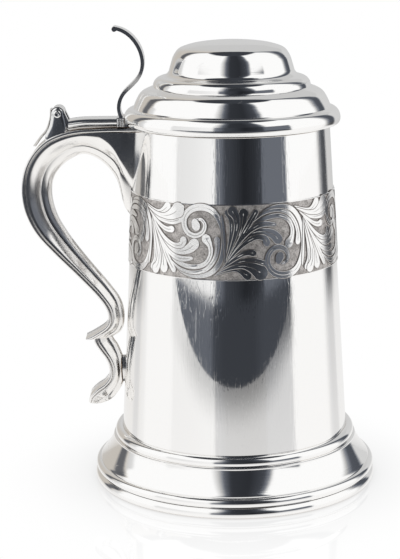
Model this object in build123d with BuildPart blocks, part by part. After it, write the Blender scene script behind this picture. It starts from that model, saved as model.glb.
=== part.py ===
from build123d import *
import math
import os

# Silver tankard with a hinged lid. Millimetres, +Z up.
# The origin is on the axis of the drum, in the plane that the foot stands on.
# The handle is towards -X, and the lid's hinge axis runs along Y.

# Drum
rim_z = 157.5
drum_bottom_z = 14.0
foot_joint_z = 23.3
drum_radius_at_joint = 50.1
drum_taper = 0.0583
drum_wall = 1.4
mouth_softening = 0.5
floor_z = 15.5
floor_thickness = 1.6
floor_rise = 1.5

# Engraved girdle
band_low_z = 98.5
band_high_z = 130.2
band_proud = 0.45

# Foot
collar_low_z = 18.5
skirt_low_z = 8.4
rim_moulding_low_z = 4.25
foot_radius = 62.8
foot_wall = 1.4

# Handle
strap_thickness = 1.4
strap_overhang = 0.25
handle_wall = 1.2
solder_gap = 0.02
strap_zone_reach = 2.5

# Hinge
pin_x = -75.0
pin_z = 163.7
pin_radius = 1.25
running_clearance = 0.05
knuckle_radius = 2.9
cheek_radius = 2.6
knuckle_gap = 0.3
centre_half = 1.7
lid_knuckle_length = 2.9
cheek_thickness = 1.6
lid_knuckle_inner_y = centre_half + knuckle_gap
lid_knuckle_outer_y = lid_knuckle_inner_y + lid_knuckle_length
cheek_inner_y = lid_knuckle_outer_y + knuckle_gap
cheek_outer_y = cheek_inner_y + cheek_thickness
pin_head_radius = 1.55
pin_head_height = 0.5

# Lid
lid_gap = 0.3
brim_radius = 46.8
brim_top_z = 165.5
lid_top_z = 193.9
lid_wall = 1.3
bezel_depth = 2.2
bezel_wall = 1.1
bezel_clearance = 0.45
lever_half_width = 6.4
lever_bottom_z = 157.9
lever_top_z = 161.4
lever_end_x = -70.5
thumb_thickness = 1.5
thumb_half_width = 6.2


def drum_radius(z):
    """Outer radius of the tapering drum at height z."""
    return drum_radius_at_joint - drum_taper * (z - foot_joint_z)


def section_plane(outer, inner):
    """Plane of a handle section, with its x axis from the outer to the inner side."""
    run = Vector(inner[0] - outer[0], 0, inner[1] - outer[1]).normalized()
    return Plane(origin=(outer[0], 0, outer[1]), x_dir=run, z_dir=run.cross(Vector(0, 1, 0)))


def d_section(outer, inner, half_width, start, inset):
    """D-shaped section: flat outer side, straight flanks and a crowned inner side.

    It begins at a depth of start below the outer side, and its flanks and
    crown lie inside the full section by inset.
    """
    depth = math.dist(outer, inner) - inset
    half = half_width - inset
    shoulder = start + (depth - start) * 0.58
    with BuildSketch(section_plane(outer, inner)) as section:
        with BuildLine():
            Line((start, -half), (start, half))
            Line((start, half), (shoulder, half))
            ThreePointArc((shoulder, half), (depth, 0), (shoulder, -half))
            Line((shoulder, -half), (start, -half))
        make_face()
    return section.sketch


def block_section(outer, inner, start, end, half):
    """Rectangular handle section between two depths below the outer side."""
    with BuildSketch(section_plane(outer, inner)) as section:
        with BuildLine():
            Polyline((start, -half), (end, -half), (end, half), (start, half), close=True)
        make_face()
    return section.sketch


def strap_block(stations):
    """Sections of the handle's outer part at the width of the strap."""
    return [
        block_section(outer, inner, 0, 0.6 * math.dist(outer, inner), half + strap_overhang)
        for outer, inner, half in stations
    ]


def strap_zone(stations):
    """Sections of the zone that belongs to the strap, wider than the handle."""
    return [block_section(o, i, -strap_zone_reach, strap_thickness, half + 2) for o, i, half in stations]


def beside(points, distance):
    """Points moved sideways, to the left of the way they run, by a distance."""
    moved = []
    for index, (x, z) in enumerate(points):
        before = points[max(index - 1, 0)]
        after = points[min(index + 1, len(points) - 1)]
        run = math.dist(before, after)
        moved.append((x - distance * (after[1] - before[1]) / run, z + distance * (after[0] - before[0]) / run))
    return moved


def save(part, name):
    """Label a finished piece and write it as one STEP file."""
    part.label = name
    export_step(part, f"parts/{name}.step")


os.makedirs("parts", exist_ok=True)

# Drum: a tapering shell, open at both ends, with a softened mouth
with BuildPart() as drum:
    with BuildSketch(Plane.XZ):
        with BuildLine():
            Polyline(
                (drum_radius(drum_bottom_z), drum_bottom_z),
                (drum_radius(rim_z), rim_z),
                (drum_radius(rim_z) - drum_wall, rim_z),
                (drum_radius(drum_bottom_z) - drum_wall, drum_bottom_z),
                close=True,
            )
        make_face()
    revolve(axis=Axis.Z)
    fillet(drum.edges().group_by(Axis.Z)[-1], radius=mouth_softening)
save(drum.part, "drum")

# Floor of the cup: a disc let into the drum, raised a little in the middle
floor_top_z = floor_z + floor_thickness
with BuildPart() as base_disc:
    with BuildSketch(Plane.XZ):
        with BuildLine():
            Line((0, floor_z + floor_rise), (0, floor_top_z + floor_rise))
            rim_high = (drum_radius(floor_top_z) - drum_wall - solder_gap, floor_top_z)
            rim_low = (drum_radius(floor_z) - drum_wall - solder_gap, floor_z)
            TangentArc((0, floor_top_z + floor_rise), rim_high, tangent=(1, 0))
            Line(rim_high, rim_low)
            TangentArc((0, floor_z + floor_rise), rim_low, tangent=(1, 0))
        make_face()
    revolve(axis=Axis.Z)
save(base_disc.part, "base_disc")

# Engraved girdle: a thin strip round the drum
with BuildPart() as engraved_band:
    with BuildSketch(Plane.XZ):
        with BuildLine():
            Polyline(
                (drum_radius(band_low_z), band_low_z),
                (drum_radius(band_low_z) + band_proud, band_low_z),
                (drum_radius(band_high_z) + band_proud, band_high_z),
                (drum_radius(band_high_z), band_high_z),
                close=True,
            )
        make_face()
    revolve(axis=Axis.Z)
save(engraved_band.part, "engraved_band")

# Foot collar: a bead with a small fillet under it, at the top of the foot
with BuildPart() as foot_collar:
    with BuildSketch(Plane.XZ):
        with BuildLine():
            Line((drum_radius(collar_low_z), collar_low_z), (drum_radius(foot_joint_z), foot_joint_z))
            ThreePointArc((drum_radius(foot_joint_z), foot_joint_z), (53.2, 22.0), (53.1, 19.5))
            Polyline(
                (53.1, 19.5),
                (54.2, 19.2),
                (54.2, collar_low_z),
                (drum_radius(collar_low_z), collar_low_z),
            )
        make_face()
    revolve(axis=Axis.Z)
save(foot_collar.part, "foot_collar")

# Foot skirt: a spreading sheet, slightly hollow in outline, with a flange to the drum
with BuildPart() as foot_skirt:
    flange_low_z = collar_low_z - foot_wall
    with BuildSketch(Plane.XZ):
        with BuildLine():
            Line((drum_radius(flange_low_z), flange_low_z), (drum_radius(collar_low_z), collar_low_z))
            Line((drum_radius(collar_low_z), collar_low_z), (54.1, collar_low_z))
            ThreePointArc((54.1, collar_low_z), (56.6, 13.7), (60.0, 9.3))
            Polyline((60.0, 9.3), (60.2, skirt_low_z), (58.5, skirt_low_z))
            ThreePointArc((58.5, skirt_low_z), (55.1, 13.1), (53.0, flange_low_z))
            Line((53.0, flange_low_z), (drum_radius(flange_low_z), flange_low_z))
        make_face()
    revolve(axis=Axis.Z)
save(foot_skirt.part, "foot_skirt")

# Half-round moulding under the skirt
with BuildPart() as foot_rim_moulding:
    with BuildSketch(Plane.XZ):
        with BuildLine():
            Line((58.4, skirt_low_z), (60.7, skirt_low_z))
            ThreePointArc((60.7, skirt_low_z), (62.4, 6.4), (61.0, rim_moulding_low_z))
            Polyline((61.0, rim_moulding_low_z), (58.4, rim_moulding_low_z), (58.4, skirt_low_z))
        make_face()
    revolve(axis=Axis.Z)
save(foot_rim_moulding.part, "foot_rim_moulding")

# Bottom wire that the tankard stands on
with BuildPart() as foot_base_wire:
    with BuildSketch(Plane.XZ):
        with BuildLine():
            Polyline((61.4, rim_moulding_low_z), (58.2, rim_moulding_low_z), (58.2, 0), (61.8, 0))
            ThreePointArc((61.8, 0), (foot_radius, 1.7), (62.0, 3.6))
            Line((62.0, 3.6), (61.4, rim_moulding_low_z))
        make_face()
    revolve(axis=Axis.Z)
save(foot_base_wire.part, "foot_base_wire")

# Solid envelope of the drum and girdle, used to fit what is soldered to them
with BuildPart() as drum_envelope:
    with BuildSketch(Plane.XZ):
        with BuildLine():
            Polyline(
                (0, 0),
                (drum_radius(0) + solder_gap, 0),
                (drum_radius(band_low_z) + solder_gap, band_low_z),
                (drum_radius(band_low_z) + band_proud + solder_gap, band_low_z),
                (drum_radius(band_high_z) + band_proud + solder_gap, band_high_z),
                (drum_radius(band_high_z) + solder_gap, band_high_z),
                (drum_radius(rim_z + 2) + solder_gap, rim_z + 2),
                (0, rim_z + 2),
                close=True,
            )
        make_face()
    revolve(axis=Axis.Z)

# Upper scroll of the handle: stations of (outer point, inner point, half width) in the XZ plane
upper_stations = [
    ((-41.0, 157.2), (-43.4, 117.0), 7.0),
    ((-47.5, 157.2), (-47.3, 122.0), 7.1),
    ((-53.5, 157.2), (-50.5, 134.0), 7.2),
    ((-60.0, 157.0), (-56.5, 141.8), 7.2),
    ((-66.5, 156.7), (-64.0, 145.4), 7.2),
    ((-73.5, 155.3), (-70.4, 143.2), 7.2),
    ((-80.5, 152.2), (-75.2, 139.3), 7.2),
    ((-86.3, 146.6), (-77.9, 134.8), 7.1),
    ((-90.2, 139.0), (-78.8, 130.0), 7.0),
    ((-91.4, 129.5), (-78.4, 124.8), 6.9),
    ((-90.0, 120.0), (-76.7, 118.8), 6.7),
    ((-85.8, 111.2), (-73.6, 112.9), 6.4),
    ((-78.4, 102.4), (-68.9, 105.8), 6.1),
    ((-68.8, 92.4), (-61.6, 96.3), 5.8),
    ((-60.6, 83.4), (-54.3, 87.2), 5.6),
    ((-56.4, 77.2), (-49.7, 80.0), 5.4),
    ((-55.4, 72.4), (-48.4, 72.4), 5.3),
    ((-56.6, 69.2), (-50.0, 66.0), 5.3),
    ((-60.0, 67.0), (-56.2, 62.4), 5.3),
    ((-65.2, 65.4), (-64.2, 63.2), 5.0),
]
first_void, last_void = 3, 17
tail_half_width = 3.2
tail_low_z = 116.0
tail_high_z = 146.0

# A wedge on each side narrows the long tail of the handle down the drum
with BuildPart() as tail_cut:
    with BuildSketch(Plane.YZ.offset(-56.0)):
        with BuildLine():
            Polyline(
                (tail_half_width, tail_low_z - 2),
                (tail_half_width, tail_low_z),
                (7.6, tail_high_z),
                (12.0, tail_high_z),
                (12.0, tail_low_z - 2),
                close=True,
            )
        make_face()
        mirror(about=Plane.YZ)
    extrude(amount=20)

with BuildPart() as upper_envelope:
    loft(sections=[d_section(o, i, w + solder_gap, -solder_gap, -solder_gap) for o, i, w in upper_stations])

with BuildPart() as upper_strap_zone:
    loft(sections=strap_zone(upper_stations))

with BuildPart() as handle_shell:
    loft(sections=[d_section(o, i, w, strap_thickness + solder_gap, 0) for o, i, w in upper_stations])
    loft(
        sections=[
            d_section(o, i, w, strap_thickness - 1.0, handle_wall)
            for o, i, w in upper_stations[first_void : last_void + 1]
        ],
        mode=Mode.SUBTRACT,
    )
    add(tail_cut.part, mode=Mode.SUBTRACT)
    add(drum_envelope.part, mode=Mode.SUBTRACT)
save(handle_shell.part, "handle_shell")

with BuildPart() as handle_back_strap:
    loft(sections=strap_block(upper_stations))
    add(upper_strap_zone.part, mode=Mode.INTERSECT)
    add(drum_envelope.part, mode=Mode.SUBTRACT)
    add(handle_shell.part, mode=Mode.SUBTRACT)
save(handle_back_strap.part, "handle_back_strap")

# Lower scroll of the handle
lower_stations = [
    ((-62.8, 65.2), (-54.2, 67.0), 4.6),
    ((-62.0, 61.6), (-53.8, 63.2), 4.8),
    ((-59.6, 57.8), (-51.6, 59.6), 4.9),
    ((-57.0, 54.0), (-49.6, 54.4), 4.9),
    ((-55.6, 49.8), (-48.7, 49.4), 4.9),
    ((-55.8, 45.8), (-49.1, 44.0), 5.0),
    ((-58.0, 42.6), (-51.4, 38.6), 5.2),
    ((-61.4, 40.2), (-55.2, 34.2), 5.4),
    ((-64.0, 37.6), (-59.6, 32.4), 5.4),
    ((-64.9, 35.2), (-62.8, 32.6), 5.0),
]
with BuildPart() as lower_envelope:
    loft(sections=[d_section(o, i, w + solder_gap, -solder_gap, -solder_gap) for o, i, w in lower_stations])

with BuildPart() as lower_strap_zone:
    loft(sections=strap_zone(lower_stations))

with BuildPart() as lower_scroll_shell:
    loft(sections=[d_section(o, i, w, 0, 0) for o, i, w in lower_stations])
    loft(sections=[d_section(o, i, w, 0, handle_wall) for o, i, w in lower_stations[2:8]], mode=Mode.SUBTRACT)
    add(lower_strap_zone.part, mode=Mode.SUBTRACT)
    add(upper_envelope.part, mode=Mode.SUBTRACT)
    add(handle_shell.part, mode=Mode.SUBTRACT)
    add(drum_envelope.part, mode=Mode.SUBTRACT)
save(lower_scroll_shell.part, "lower_scroll_shell")

with BuildPart() as lower_scroll_strap:
    loft(sections=strap_block(lower_stations))
    add(lower_strap_zone.part, mode=Mode.INTERSECT)
    add(upper_envelope.part, mode=Mode.SUBTRACT)
    add(handle_shell.part, mode=Mode.SUBTRACT)
save(lower_scroll_strap.part, "lower_scroll_strap")

# Oval pad between the lower scroll and the drum
pad_x = -51.5
pad_z = 48.5
pad_half_width = 3.4
pad_half_height = 6.2
pad_reach = 6.0
with BuildPart() as lower_handle_pad:
    with BuildSketch(Plane(origin=(pad_x, 0, pad_z), x_dir=(0, 1, 0), z_dir=(1, 0, 0))):
        Ellipse(pad_half_width, pad_half_height)
    extrude(amount=pad_reach)
    add(drum_envelope.part, mode=Mode.SUBTRACT)
    add(lower_envelope.part, mode=Mode.SUBTRACT)
save(lower_handle_pad.part, "lower_handle_pad")

# Handle strap, swollen by the soldering gap, used to fit the hinge to the handle's back
with BuildPart() as strap_envelope:
    loft(sections=[d_section(o, i, w + strap_overhang, -solder_gap, 0) for o, i, w in upper_stations[1:12]])

# Saddle: a thin plate on top of the handle between the cheeks
saddle_left = (-79.6, 154.5)
saddle_right = (-72.0, 157.2)
saddle_half = cheek_inner_y - solder_gap
with BuildPart() as hinge_saddle:
    with BuildSketch(Plane.XZ):
        with BuildLine():
            Polyline(saddle_left, saddle_right, (-72.0, 154.0), (-78.6, 151.0), close=True)
        make_face()
    extrude(amount=saddle_half, both=True)
    add(strap_envelope.part, mode=Mode.SUBTRACT)
save(hinge_saddle.part, "hinge_saddle")

# Centre knuckle: a barrel on a leg that stands on the saddle
with BuildPart() as hinge_centre_knuckle:
    with BuildSketch(Plane.XZ):
        with BuildLine():
            Polyline(
                (pin_x - knuckle_radius, pin_z),
                (pin_x + knuckle_radius, pin_z),
                (-73.2, 156.9),
                (-78.2, 155.1),
                close=True,
            )
        make_face()
        with Locations((pin_x, pin_z)):
            Circle(knuckle_radius)
            Circle(pin_radius, mode=Mode.SUBTRACT)
    extrude(amount=centre_half, both=True)
    add(hinge_saddle.part, mode=Mode.SUBTRACT)
    add(strap_envelope.part, mode=Mode.SUBTRACT)
save(hinge_centre_knuckle.part, "hinge_centre_knuckle")


def cheek(y_low, name):
    """End plate of the hinge: rounded top, small waist and a foot on the handle's back."""
    with BuildPart() as plate:
        with BuildSketch(Plane.XZ.offset(-y_low)):
            with BuildLine():
                ThreePointArc(
                    (pin_x - cheek_radius, pin_z), (pin_x, pin_z + cheek_radius), (pin_x + cheek_radius, pin_z)
                )
                Spline((pin_x + cheek_radius, pin_z), (-71.7, 160.4), (-71.5, 157.6), tangents=((0, -1), (-0.2, -1)))
                Polyline((-71.5, 157.6), (-72.0, 153.5), (-79.5, 150.5), (-80.8, 154.0))
                Spline((-80.8, 154.0), (-78.6, 158.4), (pin_x - cheek_radius, pin_z), tangents=((1, 1.2), (0, 1)))
            make_face()
            with Locations((pin_x, pin_z)):
                Circle(pin_radius, mode=Mode.SUBTRACT)
        extrude(amount=-cheek_thickness)
        add(strap_envelope.part, mode=Mode.SUBTRACT)
    save(plate.part, name)


cheek(-cheek_outer_y, "hinge_cheek_near")
cheek(cheek_inner_y, "hinge_cheek_far")

# Hinge pin: fixed in the cheeks and the centre knuckle, with a low round head at each end
with BuildPart() as hinge_pin:
    with BuildSketch(Plane.XZ.offset(-cheek_outer_y)):
        with Locations((pin_x, pin_z)):
            Circle(pin_radius)
    extrude(amount=2 * cheek_outer_y)
    with BuildSketch(Plane.XZ.offset(cheek_outer_y), Plane.XZ.offset(-cheek_outer_y - pin_head_height)):
        with Locations((pin_x, pin_z)):
            Circle(pin_head_radius)
    extrude(amount=pin_head_height)
save(hinge_pin.part, "hinge_pin")

# Drop plate: a scalloped plate from behind the hinge down the handle's back
drop_thickness = 1.1
scallop_radius = 1.7
scallops = [(2.3, 151.0), (3.2, 154.2), (3.9, 157.5), (4.0, 161.0), (1.9, 163.6)]
drop_line = [(-78.5, 165.4), (-78.9, 161.5), (-80.6, 156.6), (-83.6, 153.0), (-86.4, 149.2)]
drop_back = beside(drop_line, -drop_thickness)
with BuildPart() as hinge_drop_plate:
    with BuildSketch(Plane.XZ):
        with BuildLine():
            Spline(*drop_line)
            Spline(*drop_back)
            Line(drop_line[0], drop_back[0])
            Line(drop_line[-1], drop_back[-1])
        make_face()
    extrude(amount=8, both=True)
    with BuildSketch(Plane.YZ.offset(-92.0)):
        with BuildLine():
            Polyline((0, 147.5), (2.4, 150.6), (3.4, 154.2), (4.0, 157.6), (4.3, 161.0), (0, 164.0), close=True)
        make_face()
        with Locations(*scallops):
            Circle(scallop_radius)
        mirror(about=Plane.YZ)
    extrude(amount=20, mode=Mode.INTERSECT)
    add(strap_envelope.part, mode=Mode.SUBTRACT)
save(hinge_drop_plate.part, "hinge_drop_plate")

# Lid bezel: the ring that drops into the mouth
mouth_radius = drum_radius(rim_z) - drum_wall
lid_bottom_z = rim_z + lid_gap
seat_top_z = lid_bottom_z + lid_wall
bezel_radius = mouth_radius - bezel_clearance
with BuildPart() as lid_bezel:
    with BuildSketch(Plane.XZ):
        with BuildLine():
            Polyline(
                (bezel_radius, lid_bottom_z),
                (bezel_radius - 0.2, rim_z - bezel_depth),
                (bezel_radius - bezel_wall, rim_z - bezel_depth),
                (bezel_radius - bezel_wall, lid_bottom_z),
                close=True,
            )
        make_face()
    revolve(axis=Axis.Z)
save(lid_bezel.part, "lid_bezel")

# Brim moulding: a heavy half-round with a flange that rests over the rim
cover_foot_radius = 42.6
brim_low_radius = 43.2
brim_high_radius = 43.3


def brim_curve(swell):
    """Draw the rounded outer side of the brim, larger all round by swell."""
    Spline(
        (brim_low_radius, lid_bottom_z),
        (brim_radius + swell, 160.4),
        (45.8 + swell, 163.2),
        (brim_high_radius + swell, brim_top_z),
        tangents=((1, 0.1), (-0.8, 0.45)),
    )


with BuildPart() as lid_brim_moulding:
    with BuildSketch(Plane.XZ):
        with BuildLine():
            Line((bezel_radius - bezel_wall, lid_bottom_z), (brim_low_radius, lid_bottom_z))
            brim_curve(0)
            Polyline(
                (brim_high_radius, brim_top_z),
                (cover_foot_radius - lid_wall, brim_top_z),
                (cover_foot_radius - lid_wall, seat_top_z),
                (bezel_radius - bezel_wall, seat_top_z),
                (bezel_radius - bezel_wall, lid_bottom_z),
            )
        make_face()
    revolve(axis=Axis.Z)
save(lid_brim_moulding.part, "lid_brim_moulding")

# Lid cover: one sheet with an ovolo, a ring, a small hollow and a flat dome
with BuildPart() as lid_cover:
    with BuildSketch(Plane.XZ):
        with BuildLine():
            Spline(
                (cover_foot_radius, brim_top_z),
                (41.5, 168.9),
                (38.4, 172.1),
                (34.0, 174.4),
                tangents=((0, 1), (-1, 0.3)),
            )
            ThreePointArc((34.0, 174.4), (33.1, 177.1), (30.4, 178.7))
            ThreePointArc((30.4, 178.7), (28.3, 179.5), (27.0, 181.1))
            Spline(
                (27.0, 181.1),
                (25.5, 186.2),
                (23.9, 189.2),
                (20.4, 191.5),
                (11.6, 193.3),
                (0, lid_top_z),
                tangents=((-0.25, 1), (-1, 0)),
            )
            Spline(
                (cover_foot_radius - lid_wall, brim_top_z),
                (40.3, 168.4),
                (37.6, 171.0),
                (33.0, 173.3),
                tangents=((0, 1), (-1, 0.4)),
            )
            ThreePointArc((33.0, 173.3), (32.0, 176.2), (29.8, 177.5))
            ThreePointArc((29.8, 177.5), (27.4, 178.5), (25.8, 180.6))
            Spline(
                (25.8, 180.6),
                (24.3, 185.8),
                (22.9, 188.3),
                (19.9, 190.2),
                (11.4, 192.0),
                (0, lid_top_z - lid_wall),
                tangents=((-0.25, 1), (-1, 0)),
            )
            Line((0, lid_top_z - lid_wall), (0, lid_top_z))
            Line((cover_foot_radius - lid_wall, brim_top_z), (cover_foot_radius, brim_top_z))
        make_face()
    revolve(axis=Axis.Z)
save(lid_cover.part, "lid_cover")

# Solid envelope of the brim, used to fit the block that is soldered to it
with BuildPart() as brim_envelope:
    with BuildSketch(Plane.XZ):
        with BuildLine():
            brim_curve(solder_gap)
            Polyline(
                (brim_high_radius + solder_gap, brim_top_z),
                (0, brim_top_z),
                (0, lid_bottom_z - 3),
                (brim_low_radius, lid_bottom_z - 3),
                (brim_low_radius, lid_bottom_z),
            )
        make_face()
    revolve(axis=Axis.Z)

# Block between the lever and the brim, with three small ribs on each side
block_left_x = -49.6
block_right_x = -44.0
block_top_z = lever_top_z + 0.4
block_half_width = lever_half_width + 0.3
rib_middle_x = -47.9
rib_pitch = 1.1
rib_radius = 0.45
rib_height = 3.6
with BuildPart() as lever_block:
    with BuildSketch(Plane.XZ):
        with BuildLine():
            Polyline(
                (block_left_x, lever_bottom_z),
                (block_left_x, block_top_z),
                (block_right_x, block_top_z),
                (block_right_x, lever_bottom_z),
                close=True,
            )
        make_face()
    extrude(amount=block_half_width, both=True)
    with BuildSketch(Plane(origin=(rib_middle_x, 0, lever_bottom_z))):
        with GridLocations(rib_pitch, 2 * block_half_width, 3, 2):
            Circle(rib_radius)
    extrude(amount=rib_height)
    add(brim_envelope.part, mode=Mode.SUBTRACT)
save(lever_block.part, "lever_block")

# Lever: a moulded bar, arched down at its hinge end
lever_mid_z = 159.7
lever_step = 1.0
lever_bend_x = -62.0
lever_edge_radius = 0.7
with BuildPart() as lid_lever:
    with BuildSketch(Plane.XZ):
        with BuildLine():
            Line((block_left_x, lever_bottom_z), (lever_bend_x, lever_bottom_z))
            TangentArc((lever_bend_x, lever_bottom_z), (lever_end_x, 157.1), tangent=(-1, 0))
            Line((lever_end_x, 157.1), (lever_end_x, 158.9))
            TangentArc((lever_bend_x, lever_mid_z), (lever_end_x, 158.9), tangent=(-1, 0))
            Line((lever_bend_x, lever_mid_z), (block_left_x, lever_mid_z))
            Line((block_left_x, lever_mid_z), (block_left_x, lever_bottom_z))
        make_face()
    extrude(amount=lever_half_width, both=True)
    fillet(lid_lever.edges().filter_by(Axis.X).group_by(Axis.Z)[-1], radius=lever_edge_radius)
    with BuildSketch(Plane.XZ):
        with BuildLine():
            Line((block_left_x, lever_mid_z), (lever_bend_x, lever_mid_z))
            TangentArc((lever_bend_x, lever_mid_z), (lever_end_x, 158.9), tangent=(-1, 0))
            Line((lever_end_x, 158.9), (lever_end_x, 160.6))
            TangentArc((lever_bend_x, lever_top_z), (lever_end_x, 160.6), tangent=(-1, 0))
            Line((lever_bend_x, lever_top_z), (block_left_x, lever_top_z))
            Line((block_left_x, lever_top_z), (block_left_x, lever_mid_z))
        make_face()
    extrude(amount=lever_half_width - lever_step, both=True)
save(lid_lever.part, "lid_lever")


def lid_knuckle(y_low, name):
    """Moving barrel of the hinge with an arm to the end of the lever."""
    with BuildPart() as knuckle:
        with BuildSketch(Plane.XZ.offset(-y_low)):
            with BuildLine():
                Polyline(
                    (pin_x - 1.2, pin_z - 2.6),
                    (lever_end_x - solder_gap, 157.3),
                    (lever_end_x - solder_gap, 160.6),
                    (pin_x + 2.8, pin_z + 0.6),
                    close=True,
                )
            make_face()
            with Locations((pin_x, pin_z)):
                Circle(knuckle_radius)
                Circle(pin_radius + running_clearance, mode=Mode.SUBTRACT)
        extrude(amount=-lid_knuckle_length)
    save(knuckle.part, name)


lid_knuckle(-lid_knuckle_outer_y, "lid_knuckle_near")
lid_knuckle(lid_knuckle_inner_y, "lid_knuckle_far")

# Thumbpiece: a thin S-curved strip with a small rolled tip
thumb_base_z = block_top_z
thumb_roll_radius = 1.1
thumb_end_z = 202.5
thumb_line = [
    (-47.0, thumb_base_z),
    (-47.9, 167.0),
    (-46.4, 170.7),
    (-42.6, 174.6),
    (-38.9, 179.0),
    (-37.4, 184.4),
    (-39.2, 192.2),
    (-43.8, 197.8),
    (-49.4, 200.3),
]
thumb_back = beside(thumb_line, thumb_thickness)
with BuildPart() as thumbpiece:
    with BuildSketch(Plane.XZ):
        with BuildLine():
            Spline(*thumb_line)
            Spline(*thumb_back)
            Line(thumb_line[0], thumb_back[0])
            Line(thumb_line[-1], thumb_back[-1])
        make_face()
        with Locations((-49.9, 199.3)):
            Circle(thumb_roll_radius)
    extrude(amount=thumb_half_width + 1, both=True)
    with BuildSketch(Plane.YZ.offset(-56.0)):
        with BuildLine():
            Spline(
                (4.4, thumb_base_z),
                (3.6, 169.0),
                (5.4, 180.0),
                (thumb_half_width, 191.0),
                (4.8, 199.2),
                (0, thumb_end_z),
                tangents=((-0.3, 1), (-1, 0)),
            )
            Line((0, thumb_end_z), (0, thumb_base_z))
            Line((0, thumb_base_z), (4.4, thumb_base_z))
        make_face()
        mirror(about=Plane.YZ)
    extrude(amount=25, mode=Mode.INTERSECT)
save(thumbpiece.part, "thumbpiece")
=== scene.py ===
import logging
import math
from dataclasses import dataclass, field
from enum import Enum

import bmesh
import bpy
from mathutils import Matrix, Vector


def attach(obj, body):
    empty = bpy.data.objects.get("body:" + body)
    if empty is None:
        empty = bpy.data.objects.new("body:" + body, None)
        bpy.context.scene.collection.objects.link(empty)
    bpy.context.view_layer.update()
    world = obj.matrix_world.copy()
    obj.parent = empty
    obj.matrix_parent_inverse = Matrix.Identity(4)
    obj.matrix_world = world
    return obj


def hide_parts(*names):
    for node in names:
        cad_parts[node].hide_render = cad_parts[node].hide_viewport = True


# A polished silver tankard with a hinged, stepped lid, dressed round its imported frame.
# Lengths in the classes are millimetres, as in the part's own source, and MM turns them to metres.

MM = 0.001
SEGMENTS = 256
# the girdle's mean radius, for lengths that are measured round the drum
MEAN_RADIUS = 46.0
# how close two points of an outline are before they count as one
SAME_POINT = 1e-4
# how far the middle of a quarter-round lies in from its corner, as a share of its radius
QUARTER_MIDDLE = 0.29
WHITE = (1.0, 1.0, 1.0, 1.0)
LOG = logging.getLogger("tankard")

Point = tuple[float, float]
Profile = list[Point]
Colour = tuple[float, float, float]
Socket = bpy.types.NodeSocket

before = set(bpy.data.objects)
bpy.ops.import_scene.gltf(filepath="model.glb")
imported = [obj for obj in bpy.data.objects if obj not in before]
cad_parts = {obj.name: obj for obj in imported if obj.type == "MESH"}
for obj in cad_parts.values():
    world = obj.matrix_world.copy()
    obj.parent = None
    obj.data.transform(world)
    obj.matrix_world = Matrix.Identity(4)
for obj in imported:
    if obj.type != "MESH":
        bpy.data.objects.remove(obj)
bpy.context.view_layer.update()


class Rubbing(Enum):
    """How a finish was rubbed: the scale of its marks round, out from and along the upright axis.

    A small scale draws the marks out into lines that run that way.
    """

    UPRIGHT = (1.0, 1.0, 0.005)
    ROUND = (0.012, 1.0, 1.0)
    NO_WAY = (1.0, 1.0, 1.0)


class Studio(Enum):
    """What stands round the tankard: azimuths from the camera's side towards +X, with brightness.

    A brightness of 1 is white. LOW is what stands near the table's height and HIGH what hangs above it.
    CAP is the dark overhead and below the middle of the front, and the two UNDER levels lie beside that.
    """

    LOW = ((-180, 0.62), (-150, 0.56), (-132, 0.56), (-128, 0.14), (-120, 0.14), (-117, 0.62), (-109, 0.72),
           (-105, 1.0), (-68.5, 1.0), (-67, 0.79), (-45, 0.83), (-21.5, 0.92), (-19.5, 0.2), (-15, 0.16),
           (-9, 0.055), (3, 0.035), (12, 0.018), (24, 0.03), (31, 0.05), (33, 0.15), (61.5, 0.15),
           (63.5, 1.0), (112, 1.0), (119, 0.3), (124, 0.09), (134, 0.08), (138, 0.66), (180, 0.62))
    HIGH = ((-180, 0.58), (-134, 0.58), (-129, 0.12), (-119, 0.12), (-114, 1.0), (-24, 1.0), (-18, 0.6),
            (-12, 0.12), (-5, 0.035), (14, 0.028), (28, 0.06), (33, 0.2), (37, 1.0), (112, 1.0), (119, 0.3),
            (124, 0.09), (133, 0.1), (139, 0.58), (180, 0.58))
    CAP = 0.045
    UNDER_LEFT = 0.13
    UNDER_RIGHT = 0.06


def rgba(colour: Colour) -> tuple[float, float, float, float]:
    """Return the colour with full alpha."""
    return (*colour, 1.0)


def grey(level: float) -> tuple[float, float, float, float]:
    """Return the grey of a brightness with full alpha."""
    return rgba((level,) * 3)


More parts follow.
